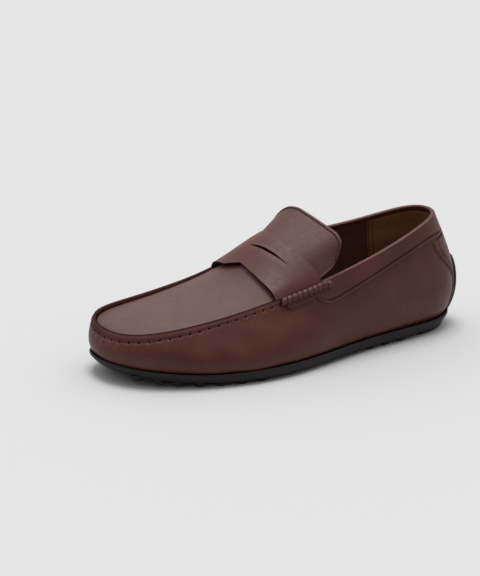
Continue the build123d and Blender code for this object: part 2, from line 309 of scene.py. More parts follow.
def stitch(centre, along, normal, length, height):
    """Path of a thread that comes out, lies on the leather and goes back in."""
    s = np.linspace(-1, 1, 7)
    along = along / np.linalg.norm(along)
    return centre + along * (s * length / 2)[:, None] + normal * (height * (1 - s**4))[:, None]


# ---------------------------------------------------------------- materials

def socket_node(tree, kind, **settings):
    """A new node with its inputs, or else its properties, set by name."""
    node = tree.nodes.new(kind)
    for key, value in settings.items():
        if key in node.inputs:
            node.inputs[key].default_value = value
        else:
            setattr(node, key, value)
    return node


def noise(tree, coords, scale, detail, rough=0.55):
    """Cloudy noise, as a socket from 0 to 1."""
    node = socket_node(tree, "ShaderNodeTexNoise", Scale=scale, Detail=detail, Roughness=rough)
    tree.links.new(coords, node.inputs["Vector"])
    return node.outputs["Fac"]


def cells(tree, coords, scale):
    """Small cells, as a socket that gives the distance to the nearest cell edge."""
    node = socket_node(tree, "ShaderNodeTexVoronoi", feature="DISTANCE_TO_EDGE", Scale=scale)
    tree.links.new(coords, node.inputs["Vector"])
    return node.outputs["Distance"]


RAMP_VALUE, RAMP_START, RAMP_END, RAMP_LOW, RAMP_HIGH = 6, 7, 8, 9, 10
RAMP_RESULT = 1


def ramp(tree, value, low, high, start, end):
    """Colour, or three equal greys, that runs from low to high as value runs from start to end."""
    node = tree.nodes.new("ShaderNodeMapRange")
    node.data_type = "FLOAT_VECTOR"
    for socket, setting in ((RAMP_START, start), (RAMP_END, end), (RAMP_LOW, low), (RAMP_HIGH, high)):
        node.inputs[socket].default_value = np.broadcast_to(setting, 3).tolist()
    tree.links.new(value, node.inputs[RAMP_VALUE])
    return node.outputs[RAMP_RESULT]


def bump_chain(tree, layers):
    """Chains bump layers given as (height socket, distance in mm)."""
    normal = None
    for height, distance in layers:
        node = socket_node(tree, "ShaderNodeBump", Distance=distance * MM, Strength=1.0)
        tree.links.new(height, node.inputs["Height"])
        if normal:
            tree.links.new(normal, node.inputs["Normal"])
        normal = node.outputs["Normal"]
    return normal


def start_material(name, roughness, specular):
    """A new material with its node tree, its shader and object coordinates in metres."""
    material = bpy.data.materials.new(name)
    material.use_nodes = True
    tree = material.node_tree
    shader = tree.nodes["Principled BSDF"]
    shader.inputs["Roughness"].default_value = roughness
    shader.inputs["Specular IOR Level"].default_value = specular
    coords = tree.nodes.new("ShaderNodeTexCoord").outputs["Object"]
    return material, tree, shader, coords


def leather_material(name, dark, light, roughness, pore_scale=1100, embossed=False, specular=0.4,
                     grain_scale=400, grain_depth=0.06):
    """Leather: cloudy dye, fine pores and soft creases, or a pressed cross-hatched grain."""
    material, tree, shader, coords = start_material(name, roughness, specular)
    cloud = noise(tree, coords, 45, 4)
    tree.links.new(ramp(tree, cloud, dark, light, 0.3, 0.72), shader.inputs["Base Color"])
    rough = ramp(tree, noise(tree, coords, 260, 3), roughness - 0.05, roughness + 0.06, 0.3, 0.7)
    split = tree.nodes.new("ShaderNodeSeparateXYZ")
    tree.links.new(rough, split.inputs[0])
    tree.links.new(split.outputs[0], shader.inputs["Roughness"])
    layers = [(noise(tree, coords, 120, 3), 0.25), (cells(tree, coords, pore_scale), 0.05)]
    if embossed:
        for angle in (0.9, -0.7):
            turn = socket_node(tree, "ShaderNodeMapping")
            turn.inputs["Rotation"].default_value = (0, 0, angle)
            tree.links.new(coords, turn.inputs["Vector"])
            wave = socket_node(tree, "ShaderNodeTexWave", bands_direction="X", Scale=float(grain_scale),
                               Distortion=1.2)
            wave.inputs["Detail"].default_value = 2
            wave.inputs["Detail Scale"].default_value = 1.5
            tree.links.new(turn.outputs[0], wave.inputs["Vector"])
            layers.append((wave.outputs["Fac"], grain_depth))
    tree.links.new(bump_chain(tree, layers), shader.inputs["Normal"])
    return material


def plain_material(name, dark, light, roughness, scale, depth, sheen=0.0, specular=0.3):
    """Suede, rubber, thread, edge paint and near-black painted shade: two tones over a fine noise, with that
    noise as bump.
    """
    material, tree, shader, coords = start_material(name, roughness, specular)
    grain = noise(tree, coords, scale, 5, 0.65)
    tree.links.new(ramp(tree, grain, dark, light, 0.35, 0.68), shader.inputs["Base Color"])
    tree.links.new(bump_chain(tree, [(grain, depth)]), shader.inputs["Normal"])
    shader.inputs["Sheen Weight"].default_value = sheen
    return material


SMOOTH = leather_material("smooth_leather", (0.064, 0.0140, 0.0082), (0.094, 0.023, 0.0145), 0.44,
                          specular=0.34)
GRAINED = leather_material("grained_leather", (0.080, 0.026, 0.022), (0.100, 0.035, 0.030), 0.48,
                           pore_scale=900, embossed=True, specular=0.45)
# Painted sheen: the strap is the same smooth leather as the wrapper, given here as a lighter, greyer copy
# that paints in the soft sheen of the light on its top face.
STRAP_LEATHER_PAINTED_SHEEN = leather_material("strap_leather_painted_sheen", (0.080, 0.0230, 0.0180), (0.104, 0.032, 0.026), 0.50,
                                 specular=0.34)
TONGUE_GRAIN = leather_material("tongue_grain", (0.080, 0.023, 0.019), (0.104, 0.034, 0.028), 0.50,
                                pore_scale=900, embossed=True, grain_scale=300, grain_depth=0.05)
DARK_LINING = leather_material("dark_lining", (0.088, 0.032, 0.024), (0.125, 0.048, 0.036), 0.5)
TAN = leather_material("tan_sock", (0.040, 0.017, 0.010), (0.060, 0.027, 0.016), 0.6)
SUEDE = plain_material("suede_lining", (0.205, 0.074, 0.025), (0.310, 0.115, 0.042), 0.9, 700, 0.12,
                       sheen=0.2)
# Near-black: edge paint on cut edges and dark thread, and painted shade where it stands for the beef rolls'
# open fronts and stitch holes.
DARK_EDGE_THREAD_AND_SHADE = plain_material("dark_edge_paint_thread_and_painted_shade", (0.007, 0.003, 0.0026), (0.014, 0.006, 0.005), 0.7, 900, 0.05,
                      specular=0.12)
THREAD = plain_material("waxed_thread", (0.012, 0.005, 0.004), (0.026, 0.011, 0.009), 0.65, 1800, 0.08,
                        specular=0.2)
BROWN_THREAD = plain_material("brown_thread", (0.030, 0.010, 0.007), (0.052, 0.018, 0.013), 0.65, 1800, 0.08,
                              specular=0.2)
RUBBER = plain_material("moulded_rubber", (0.0105, 0.0068, 0.0072), (0.0165, 0.0108, 0.0115), 0.52, 600, 0.05,
                        specular=0.28)
BOARD = plain_material("fibreboard", (0.10, 0.075, 0.05), (0.16, 0.12, 0.08), 0.85, 900, 0.1)
FOAM = plain_material("foam", (0.30, 0.26, 0.20), (0.38, 0.33, 0.26), 0.9, 1500, 0.2)
FLOOR = plain_material("pale_floor", (0.58, 0.58, 0.58), (0.58, 0.58, 0.58), 0.9, 10, 0.0, specular=0.0)


# ---------------------------------------------------------------- places on the shoe

def below_top(u, distance):
    """The wall height v that lies a distance in mm below the top edge."""
    u, distance = np.broadcast_arrays(np.asarray(u, float), np.asarray(distance, float))
    target = spline(RIM, u)[..., 2] - distance
    low, high = np.zeros(u.shape), np.ones(u.shape)
    for _ in range(22):
        middle = (low + high) / 2
        under = skin(u, middle)[..., 2] < target
        low = np.where(under, middle, low)
        high = np.where(under, high, middle)
    return (low + high) / 2


SEAM_W = np.linspace(-7.2, 7.2, 1441)
SEAM_STEPS = np.linalg.norm(np.diff(spline(RIM, TOE + SEAM_W), axis=0), axis=1)
SEAM_LENGTH = np.concatenate([[0], np.cumsum(SEAM_STEPS)])
SEAM_LENGTH -= np.interp(0, SEAM_W, SEAM_LENGTH)


def seam_length(w):
    """Length in mm along the plug's seam from the toe, for stations w from the toe."""
    return np.interp(w, SEAM_W, SEAM_LENGTH)


def seam_station(length):
    """The opposite of seam_length."""
    return np.interp(length, SEAM_LENGTH, SEAM_W)


def through(points, t):
    """Points at t (0 to 1) on a smooth curve through the given points."""
    p = np.array(points, float)
    knots = np.concatenate([[0], np.cumsum(np.linalg.norm(np.diff(p, axis=0), axis=1))])
    knots /= knots[-1]
    slopes = np.gradient(p, knots, axis=0, edge_order=2)
    t = np.asarray(t, float)
    k = np.clip(np.searchsorted(knots, t, side="right") - 1, 0, len(p) - 2)
    gap = (knots[k + 1] - knots[k])[..., None]
    f = (t[..., None] - knots[k][..., None]) / gap
    return (p[k] * (1 + 2 * f) * (1 - f) ** 2 + p[k + 1] * f * f * (3 - 2 * f)
            + slopes[k] * gap * f * (1 - f) ** 2 + slopes[k + 1] * gap * f * f * (f - 1))


# ---------------------------------------------------------------- wrapper

PLUG_STITCHES = seam_station(np.arange(-21, 22) * STITCH_PITCH + STITCH_SHIFT)


def stitch_drop(w):
    """Distance of the plug's stitches below the crest: they climb towards the strap."""
    return STITCH_DROP - STITCH_RISE * smooth(np.abs(w), 1.5, 5)


def wrapper_relief(u, d):
    """How far the leather stands off its smooth shape, by station and distance below the top edge."""
    w = u - TOE
    s = seam_length(w)
    at_seam = 1 - smooth(np.abs(w), FIN_END - 0.2, FIN_END)
    near_toe = 1 - 0.75 * smooth(np.abs(w), 1.6, 4.2)
    ribs = np.cos(2 * math.pi * s / 1.25 + 1.3 * np.sin(0.31 * s) + 0.5 * np.sin(1.13 * s))
    band = smooth(d, -0.6, 1.0) * (1 - smooth(d, 3.2, 5.4))
    relief = 0.26 * ribs * band * near_toe
    relief += 0.35 * bump(d - 1.8, 1.4)
    below = d - stitch_drop(w)
    relief -= 0.30 * bump(below, 0.7)
    for stitch_w in PLUG_STITCHES:
        relief -= 1.1 * bump(np.hypot(s - seam_length(stitch_w), below), 0.75)
    gathers = np.cos(2 * math.pi * (s - STITCH_SHIFT) / STITCH_PITCH)
    relief += 0.16 * gathers * bump(below - 2.7, 2.6) * near_toe
    slack = 0.30 * np.sin(0.11 * s + 0.8) * np.sin(0.19 * d + 0.5) + 0.16 * np.sin(0.23 * s + 0.21 * d)
    slack *= smooth(d, 5, 14)
    return relief * at_seam + slack


def make_wrapper():
    """The tub of leather: its outer face, the crest that rolls over into the opening, and its inner face."""
    fine = np.linspace(TOE - 6, TOE + 6, 1500)
    rough = np.linspace(TOE + 6, TOE + STATIONS - 6, 260)[1:-1] % STATIONS
    u = np.concatenate([fine, rough])
    drop = np.concatenate([np.linspace(0, 6.5, 27), np.linspace(7.3, 16, 10)])
    top_rows = below_top(u[None, :], drop[::-1, None])
    foot_rows = top_rows[:1] * np.linspace(0, 1, 12)[:-1, None]
    v = np.concatenate([foot_rows, top_rows])
    top = spline(RIM, u)
    distance = top[None, :, 2] - skin(u[None, :], v)[..., 2]
    outer = wall(u[None, :], v, wrapper_relief(u[None, :] + 0 * v, distance))

    w = (u - TOE + STATIONS / 2) % STATIONS - STATIONS / 2
    fin = (1 - smooth(np.abs(w), FIN_END - 0.1, FIN_END + 0.2))[None, :, None]
    ridge = np.array([(0.05, 0.25), (0.0, 0.55), (-0.12, 0.75), (-0.45, 0.85), (-0.95, 0.85), (-1.3, 0.7),
                      (-1.5, 0.3), (-1.75, -1.2), (-1.9, -3.2)])
    plain = np.array([(0, 0.05), (-0.15, 0.15), (-0.5, 0.25), (-0.9, 0.25), (-1.3, 0.15), (-1.55, -0.1),
                      (-1.55, -0.7), (-1.35, -1.3), (-1.1, -2.0)])
    under_strap = smooth(np.abs(w), FIN_END, FIN_END + 0.3) * (1 - smooth(np.abs(w), 6.8, 7.1))
    steps = ridge[:, None] * fin + plain[:, None] * (1 - fin)
    ribs = wrapper_relief(u, np.full(u.shape, 0.4))
    edge = top + outward(u) * (steps[..., :1] + 0.6 * ribs[None, :, None] * (steps[..., :1] > -1.4))
    edge[..., 2] += steps[..., 1] - 1.5 * under_strap[None, :]
    start = 0.95 - 0.10 * fin[0, :, 0]
    inner = wall(u[None, :], start[None, :] * np.linspace(1, 0, 12)[:, None], -LEATHER)
    wrapper = grid_object("wrapper_leather", np.concatenate([outer, edge, inner]), [SMOOTH, DARK_EDGE_THREAD_AND_SHADE],
                          closed_u=True, closed_v=True)
    crest = len(outer) + 1
    columns = len(u)
    for index, polygon in enumerate(wrapper.data.polygons):
        if crest <= index // columns < crest + 4:
            polygon.material_index = 1
    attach(wrapper, UPPER)
    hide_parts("wrapper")


def make_plug_threads():
    """Thread between the holes of the plug's seam, mostly pulled under the leather."""
    w = (PLUG_STITCHES[1:] + PLUG_STITCHES[:-1]) / 2
    u = TOE + w[np.abs(w) < FIN_END - 0.25]
    v = below_top(u, stitch_drop(u - TOE))
    centre = wall(u, v, -0.78)
    along = wall(u + 0.02, v, 0) - wall(u - 0.02, v, 0)
    paths = [stitch(c, a, n, 5.4, 0.3) for c, a, n in zip(centre, along, skin_normal(u, v))]
    seam = threads("plug_seam_thread", paths, 0.26, BROWN_THREAD)
    w = PLUG_STITCHES[np.abs(PLUG_STITCHES) < FIN_END - 0.1]
    v = below_top(TOE + w, stitch_drop(w))
    rise = wall(TOE + w, v + 0.01) - wall(TOE + w, v - 0.01)
    normal = skin_normal(TOE + w, v)
    knots = [stitch(c, a, n, 1.5, 0.1) for c, a, n in zip(wall(TOE + w, v, -0.72), rise, normal)]
    holes = threads("plug_hole_thread", knots, 0.62, DARK_EDGE_THREAD_AND_SHADE)
    w = seam_station(seam_length(w) + STITCH_PITCH * 0.5)
    ridge = spline(RIM, TOE + w)
    foot = ridge - outward(TOE + w) * 3.0 - np.array([0, 0, PLUG_DROP + 0.4])
    crest = spline(RIM, TOE + w + 0.04) - outward(TOE + w) * 1.75 - np.array([0, 0, 0.2])
    inside_paths = [low + (high - low) * np.linspace(0, 1, 7)[:, None] for low, high in zip(foot, crest)]
    inner = threads("plug_inner_thread", inside_paths, 0.42, DARK_EDGE_THREAD_AND_SHADE)
    for piece in (seam, holes, inner):
        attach(piece, UPPER)
    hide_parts("apron_stitching")


# ---------------------------------------------------------------- plug and strap

def make_plug():
    """The grained plug over the toes, set a little below the crest of the wrapper."""
    a = np.linspace(0, 1, 141)[:, None]
    w = (np.linspace(0.03, 1, 150) ** 1.35 * 5.85)[None, :]
    points = cover(a, w, drop=PLUG_DROP, inset=1.9)
    edge = np.minimum(a, 1 - a) * np.linalg.norm(points[-1] - points[0], axis=-1)[None, :]
    points[..., 2] += 0.25 * bump(edge - 1.6, 1.4) - 0.25 * bump(edge, 0.8)
    plug = thicken(grid_object("plug", points, [GRAINED, DARK_EDGE_THREAD_AND_SHADE]), 1.3, rim=1)
    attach(plug, UPPER)
    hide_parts("apron")


def station_where(line, a):
    """Stations w at which the strap's surface, at each a, crosses a line y(x) in plan."""
    w = np.linspace(4.4, 7.4, 241)
    found = []
    for value in a:
        p = cover(value, w)
        found.append(np.interp(0, p[:, 1] - line(p[:, 0]), w))
    return np.array(found)


def front_line(x):
    """The strap's front edge in plan, with its notch: y at x."""
    return np.interp(x, [p[0] for p in NOTCH], [p[1] for p in NOTCH])


def strap_grid(a, low, high, rows):
    """Points of the strap's face between two lines across the shoe. Its ends sink to the wall."""
    s = np.linspace(0, 1, rows)
    w = low[:, None] + (high - low)[:, None] * s[None, :]
    points = cover(a[:, None], w)
    ends = bump(1 - a, 0.035) + bump(a, 0.02)
    points[..., 2] += (STRAP_LIFT - 1.3 * ends)[:, None]
    return points


def make_strap():
    """The strap in two parts, which join at both ends of its slit. The slit's lips part a little."""
    a = 0.5 - 0.5 * np.cos(np.linspace(0, math.pi, 221))
    front = station_where(front_line, a)
    back = np.full(a.shape, STRAP_BACK)
    t = np.clip((a - SLIT_ENDS[0]) / (SLIT_ENDS[1] - SLIT_ENDS[0]), 0, 1)
    arch = np.sin(math.pi * t) ** 0.9 * (1 - 0.25 * t)
    slit_low = np.interp(a, [0, 0.3, 0.55, 0.8, 1], [6.22, 6.28, 6.345, 6.45, 6.57]) + 0.075 * arch
    slit_high = slit_low + SLIT_WIDTH * arch
    rows = 40
    lower = strap_grid(a, front, slit_low, rows)
    upper = strap_grid(a, slit_high, back, rows)
    lip_low = bump(np.linspace(1, 0, rows)[None, :], 0.12) * arch[:, None]
    lip_high = bump(np.linspace(0, 1, rows)[None, :], 0.16) * arch[:, None]
    lower[..., 2] -= 0.7 * lip_low
    upper[..., 2] += 0.9 * lip_high
    n, m = lower.shape[:2]
    points = np.concatenate([lower.reshape(-1, 3), upper.reshape(-1, 3)])
    faces = grid_faces(n, m) + grid_faces(n, m, base=n * m)
    # The strap's face takes the lighter copy of the smooth leather, with its sheen painted in.
    strap = new_object("saddle_strap_leather", points, faces, [STRAP_LEATHER_PAINTED_SHEEN, DARK_EDGE_THREAD_AND_SHADE])
    weld = strap.modifiers.new("weld", "WELD")
    weld.merge_threshold = 0.02 * MM
    thicken(strap, STRAP_THICKNESS, rim=1)
    bevel = strap.modifiers.new("worn_edge", "BEVEL")
    bevel.width = 0.35 * MM
    bevel.segments = 2
    bevel.limit_method = "ANGLE"
    bevel.angle_limit = 1.0
    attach(strap, UPPER)
    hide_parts("saddle_strap")


# ---------------------------------------------------------------- beef rolls

def roll_frame(side, w):
    """Centre of the roll, and the directions outwards from the wall and up it, at stations w from the toe."""
    u = TOE + side * w
    v = below_top(u, ROLL_DROP)
    out = skin_normal(u, v)
    up = skin(u, v + 0.01) - skin(u, v - 0.01)
    up /= np.linalg.norm(up, axis=-1, keepdims=True)
    return wall(u, v, ROLL_STAND), out, up


def make_roll(side, name):
    """The rolled seam at one end of the strap, pinched by its lacing. Near-black bits in its stitch holes and
    a near-black front cap are painted shade for the dark holes and its shaded open front.
    """
    rings, sides = 200, 40
    t = np.linspace(0, 1, rings)
    w = ROLL_FRONT + (ROLL_BACK - ROLL_FRONT) * t
    centre, out, up = roll_frame(side, w)
    creases = np.abs(np.sin(math.pi * ROLL_STITCHES * t))
    radius = ROLL_RADIUS * (0.78 + 0.22 * creases**0.5)
    radius *= 1 - 0.3 * smooth(t, 0.95, 1.0) - 0.12 * (1 - smooth(t, 0, 0.06))
    centre -= up * (1.5 * smooth(t, 0.85, 1.0))[:, None]
    angle = np.linspace(0, 2 * math.pi, sides, endpoint=False)
    slant = 0.25 * ROLL_RADIUS * np.sin(angle)
    along = np.gradient(centre, axis=0)
    along /= np.linalg.norm(along, axis=1, keepdims=True)
    ring = out[:, None] * np.cos(angle)[None, :, None] + up[:, None] * np.sin(angle)[None, :, None]
    points = centre[:, None] + ring * radius[:, None, None] + along[:, None] * slant[None, :, None]
    vertices = list(points.reshape(-1, 3))
    faces = grid_faces(rings, sides, closed_v=True)
    faces.append(tuple(reversed(range(sides))))
    faces.append(tuple(range((rings - 1) * sides, rings * sides)))
    roll = new_object("beef_roll_leather_" + name, vertices, faces, [SMOOTH, DARK_EDGE_THREAD_AND_SHADE])
    # Painted shade: the front cap takes the near-black material to stand for the shaded opening at the roll's
    # front.
    roll.data.polygons[len(faces) - 2].material_index = 1
    fix_normals(roll)
    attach(roll, UPPER)
    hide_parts("beef_roll_" + name)

    loops, holes = [], []
    angle = np.linspace(-0.9, math.pi - 0.1, 26)
    for index in range(1, ROLL_STITCHES):
        k = round((rings - 1) * index / ROLL_STITCHES)
        size = ROLL_RADIUS * 0.84
        loop = centre[k] + out[k] * (np.cos(angle) * size)[:, None] + up[k] * (np.sin(angle) * size)[:, None]
        loops.append(loop + along[k] * (0.25 * ROLL_RADIUS * np.sin(angle))[:, None])
        for turn in (-1.0, 1.75):
            face = out[k] * math.cos(turn) + up[k] * math.sin(turn)
            holes.append(stitch(centre[k] + face * (radius[k] - 0.1), along[k], face, 1.5, 0.15))
    lacing = threads("beef_roll_thread_" + name, loops, 0.34, BROWN_THREAD)
    # Painted shade: a near-black bit sunk at each stitch hole stands for the shade inside the hole.
    sunk = threads("beef_roll_hole_painted_shade_" + name, holes, 0.55, DARK_EDGE_THREAD_AND_SHADE)
    for piece in (lacing, sunk):
        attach(piece, UPPER)
    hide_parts("roll_stitching_" + name)


def make_flange(side, name):
    """The strap's turned-down edge below the roll, with a rounded front corner."""
    s = np.linspace(0, 1, 110)[None, :]
    w = ROLL_FRONT + 0.13 + (ROLL_BACK - 0.06 - ROLL_FRONT) * s
    corner = np.clip(s / 0.10, 0, 1)
    tail = np.clip((s - 0.93) / 0.07, 0, 1)
    reach = 4.4 + 3.4 * np.sqrt(1 - (1 - corner) ** 2) - 1.2 * s - 2.6 * tail**2
    rows = np.linspace(0, 1, 30)[:, None]
    d = 1.0 + (reach - 1.0) * rows
    u = TOE + side * w + 0 * d
    offset = 1.9 - 0.5 * rows + 0 * d
    for hole in np.arange(0.08, 0.97, 1 / ROLL_STITCHES):
        offset = offset - 1.0 * bump(np.hypot((s - hole) * 38, d - 5.0 + 0.4 * s), 0.7)
    flange = grid_object("flange_" + name, wall(u, below_top(u, d), offset), [SMOOTH, DARK_EDGE_THREAD_AND_SHADE], flip=True)
    if flange.data.polygons[len(flange.data.polygons) // 2].normal.x * side > 0:
        flange.data.flip_normals()
    thicken(flange, 1.3, rim=1)
    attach(flange, UPPER)


# ---------------------------------------------------------------- collar and backstay

def collar_depth(u):
    """How far below the top edge the collar's lower edge runs."""
    side = np.abs(u)
    depth = np.interp(side, [0, 1, 2, 3, 4, 5, 6, 7], [17, 14.5, 12.2, 12, 12.3, 14, 15.5, 16])
    turn = np.clip((side - COLLAR_TURN) / (COLLAR_REACH - COLLAR_TURN), 0, 1)
    return 3.5 + (depth - 3.5) * np.sqrt(1 - turn**2)


def make_collar():
    """The band round the foot opening: its outer face with a stitched groove, and its rounded top."""
    u = np.linspace(-COLLAR_REACH, COLLAR_REACH, 700)
    depth = collar_depth(u)
    d = np.concatenate([np.linspace(0, 4.5, 28)[:, None] * np.ones(len(u)),
                        4.5 + np.linspace(0, 1, 14)[1:, None] * (depth - 4.5).clip(0.2, None)])
    d = (depth[None, :] - d).clip(0.5, None)
    up_edge = depth[None, :] - d
    step = np.sqrt(np.clip(up_edge / 0.9, 0, 1))
    offset = 0.15 + 1.05 * step - 0.40 * bump(up_edge - SEAM_GROOVE, 0.45)
    outer = wall(u[None, :], below_top(u[None, :] + 0 * d, d), offset)

    angle = np.linspace(0, math.pi, 16)[:, None]
    middle = (COLLAR_OUTER + COLLAR_INNER) / 2
    half = (COLLAR_OUTER - COLLAR_INNER) / 2
    bead = spline(RIM, u)[None] + outward(u)[None] * (middle + half * np.cos(angle))[..., None]
    bead[..., 2] += 1.05 * np.sin(angle) + 0.15
    down = wall(u[None, :], below_top(u[None, :] + np.zeros((5, 1)), np.linspace(0.8, 2.3, 5)[:, None]),
                COLLAR_INNER + 0.1)
    back = wall(u[None, :], below_top(u[None, :] + np.zeros((4, 1)), np.linspace(2.3, 0.8, 4)[:, None]),
                COLLAR_INNER + 0.8)
    under_depth = np.linspace(0.4, 1, 8)[:, None] * depth[None, :]
    under = wall(u[None, :], below_top(u[None, :] + 0 * under_depth, under_depth), 0.08)
    points = np.concatenate([outer, bead, down, back, under])
    collar = grid_object("topline_collar_leather", points, [SMOOTH, DARK_EDGE_THREAD_AND_SHADE], closed_u=True)
    columns = len(u) - 1
    for index, polygon in enumerate(collar.data.polygons):
        if index // columns < 1 or 12 <= index // columns < 16:
            polygon.material_index = 1
    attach(collar, UPPER)
    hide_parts("topline_collar")

    places = np.linspace(-5.95, 5.95, 118)
    v = below_top(places, collar_depth(places) - SEAM_GROOVE)
    centre = wall(places, v, 1.0)
    along = wall(places + 0.02, v, 0) - wall(places - 0.02, v, 0)
    paths = [stitch(c, a, n, 2.1, 0.2) for c, a, n in zip(centre, along, skin_normal(places, v))]
    seam = threads("collar_thread", paths, 0.20, BROWN_THREAD, sides=6)
    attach(seam, UPPER)
    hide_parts("collar_stitching")


def backstay_reach(v):
    """Half the width of the backstay in stations: it flares towards the collar."""
    return BACKSTAY_REACH + BACKSTAY_FLARE * smooth(v, 0.30, 0.80)


def make_backstay():
    """The strip over the heel seam, with a row of stitches near each edge."""
    stitch_line = 0.86
    side = np.linspace(-1, 1, 121)[None, :]
    v = np.linspace(0.02, 0.80, 120)[:, None]
    u = side * backstay_reach(v)
    edge = np.clip((1 - np.abs(side)) / 0.07, 0, 1) ** 0.5
    offset = 0.1 + 1.15 * edge - 0.4 * bump((np.abs(side) - stitch_line) / 0.03, 1) + 0 * v
    strip = grid_object("backstay_leather", wall(u, v, offset), [SMOOTH])
    thicken(strip, 1.0)
    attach(strip, UPPER)
    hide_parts("backstay")

    paths = []
    for sign in (-1, 1):
        for height in np.linspace(0.1, 0.7, 19):
            around = sign * stitch_line * backstay_reach(height)
            centre = wall(around, height, 1.0)
            above, below = (sign * stitch_line * backstay_reach(height + step) for step in (0.01, -0.01))
            rise = wall(above, height + 0.01, 0) - wall(below, height - 0.01, 0)
            paths.append(stitch(centre, rise, skin_normal(around, height), 1.7, 0.2))
    seam = threads("backstay_thread", paths, 0.26, THREAD, sides=6)
    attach(seam, UPPER)
    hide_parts("backstay_stitching")


# ---------------------------------------------------------------- linings and inside

def make_lining(name, node, start, end, offset, high, material):
    """A lining inside the wall from station start to end, which lies closer to it near the top edge."""
    u = np.linspace(start, end, max(40, int((end - start) * 30)))[None, :]
    v = np.linspace(0.12, high, 40)[:, None]
    wave = 0.18 * np.sin(3.1 * u + 2 * v) * np.sin(math.pi * v)
    near_top = smooth(v, 0.70, 0.86)
    offset = offset * (1 - near_top) - 1.95 * near_top + wave
    lining = grid_object(name, wall(u, v, offset), [material], flip=True)
    thicken(lining, 0.9)
    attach(lining, UPPER)
    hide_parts(node)


def make_lining_seams():
    """Double row of stitches down the joint between the quarter linings and the heel lining."""
    paths = []
    for sign in (-1, 1):
        for shift in (-0.07, 0.07):
            for v in np.linspace(0.3, 0.93, 26):
                u = sign * (LINING_JOINT - 0.10 + shift * sign)
                depth = -4.0 + 2.0 * float(smooth(v, 0.70, 0.86))
                centre = wall(u, v, depth)
                rise = wall(u, v + 0.01, depth) - wall(u, v - 0.01, depth)
                paths.append(stitch(centre, rise, -skin_normal(u, v), 1.7, 0.3))
    seam = threads("lining_thread", paths, 0.25, THREAD, sides=6)
    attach(seam, UPPER)


def layer(inset, height, rings, count=360):
    """Rings of points over the whole bottom at one height above its curve, from the edge to the middle."""
    u = np.linspace(0, STATIONS, count, endpoint=False)
    edge = outline(u, inset)[None]
    shrink = np.linspace(1, 0.02, rings)[:, None, None]
    centre = np.array([-3.0, 0.0, 0.0])
    points = centre + (edge - centre) * shrink
    points[..., 2] = lift(points[..., 1]) + height
    return points


def make_sock():
    """The leather sock liner on the footbed, slightly wavy and raised at its edge."""
    rings = 24
    top = layer(4.6, 15.4, rings)
    edge = np.linspace(1, 0.02, rings)[:, None]
    top[..., 2] += 0.5 * smooth(edge, 0.9, 1.0)
    top[..., 2] += 0.12 * np.sin(top[..., 0] * 0.12) * np.cos(top[..., 1] * 0.07)
    sock = grid_object("sock_liner_leather", top, [TAN], closed_v=True)
    if sock.data.polygons[0].normal.z < 0:
        sock.data.flip_normals()
    thicken(sock, 1.0)
    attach(sock, UPPER)
    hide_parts("sock_liner")


# ---------------------------------------------------------------- tongue

TONGUE_ROOT = cover(np.array([0.02, 0.1, 0.25, 0.45, 0.65, 0.82, 0.985]), 6.7) - np.array([0, 0, 1.2])
TONGUE_ROOT[0] += (2.0, 1.0, -6.0)
TONGUE_ROOT[-1] += (-1.0, 4.5, 0.0)
TONGUE_TIP = [(-32, 7, 76), (-33, 10.5, 88.3), (-31, 14, 94), (-27, 16.8, 97.6), (-19.5, 20, 99),
              (-10, 22.3, 97.3), (2, 24.8, 94.5), (13, 27.1, 91.5), (20.5, 29.3, 88.5), (25, 30.2, 84),
              (27.3, 27.5, 76), (29, 20.5, 66)]
TONGUE_WIDTH = 110


def tongue_point(t, b, behind):
    """Points at a distance behind the tongue's front: t across it, b from its root to its tip."""
    t, b = np.broadcast_arrays(np.asarray(t, float), np.asarray(b, float))
    root, tip = through(TONGUE_ROOT, t), through(TONGUE_TIP, t)
    front = root + (tip - root) * b[..., None]
    low, high = np.maximum(t - 0.02, 0), np.minimum(t + 0.02, 1)
    across = (through(TONGUE_ROOT, high) - through(TONGUE_ROOT, low)) * (1 - b)[..., None]
    across = across + (through(TONGUE_TIP, high) - through(TONGUE_TIP, low)) * b[..., None]
    normal = np.cross(tip - root, across)
    normal /= np.linalg.norm(normal, axis=-1, keepdims=True)
    return front + normal * np.asarray(behind)[..., None]


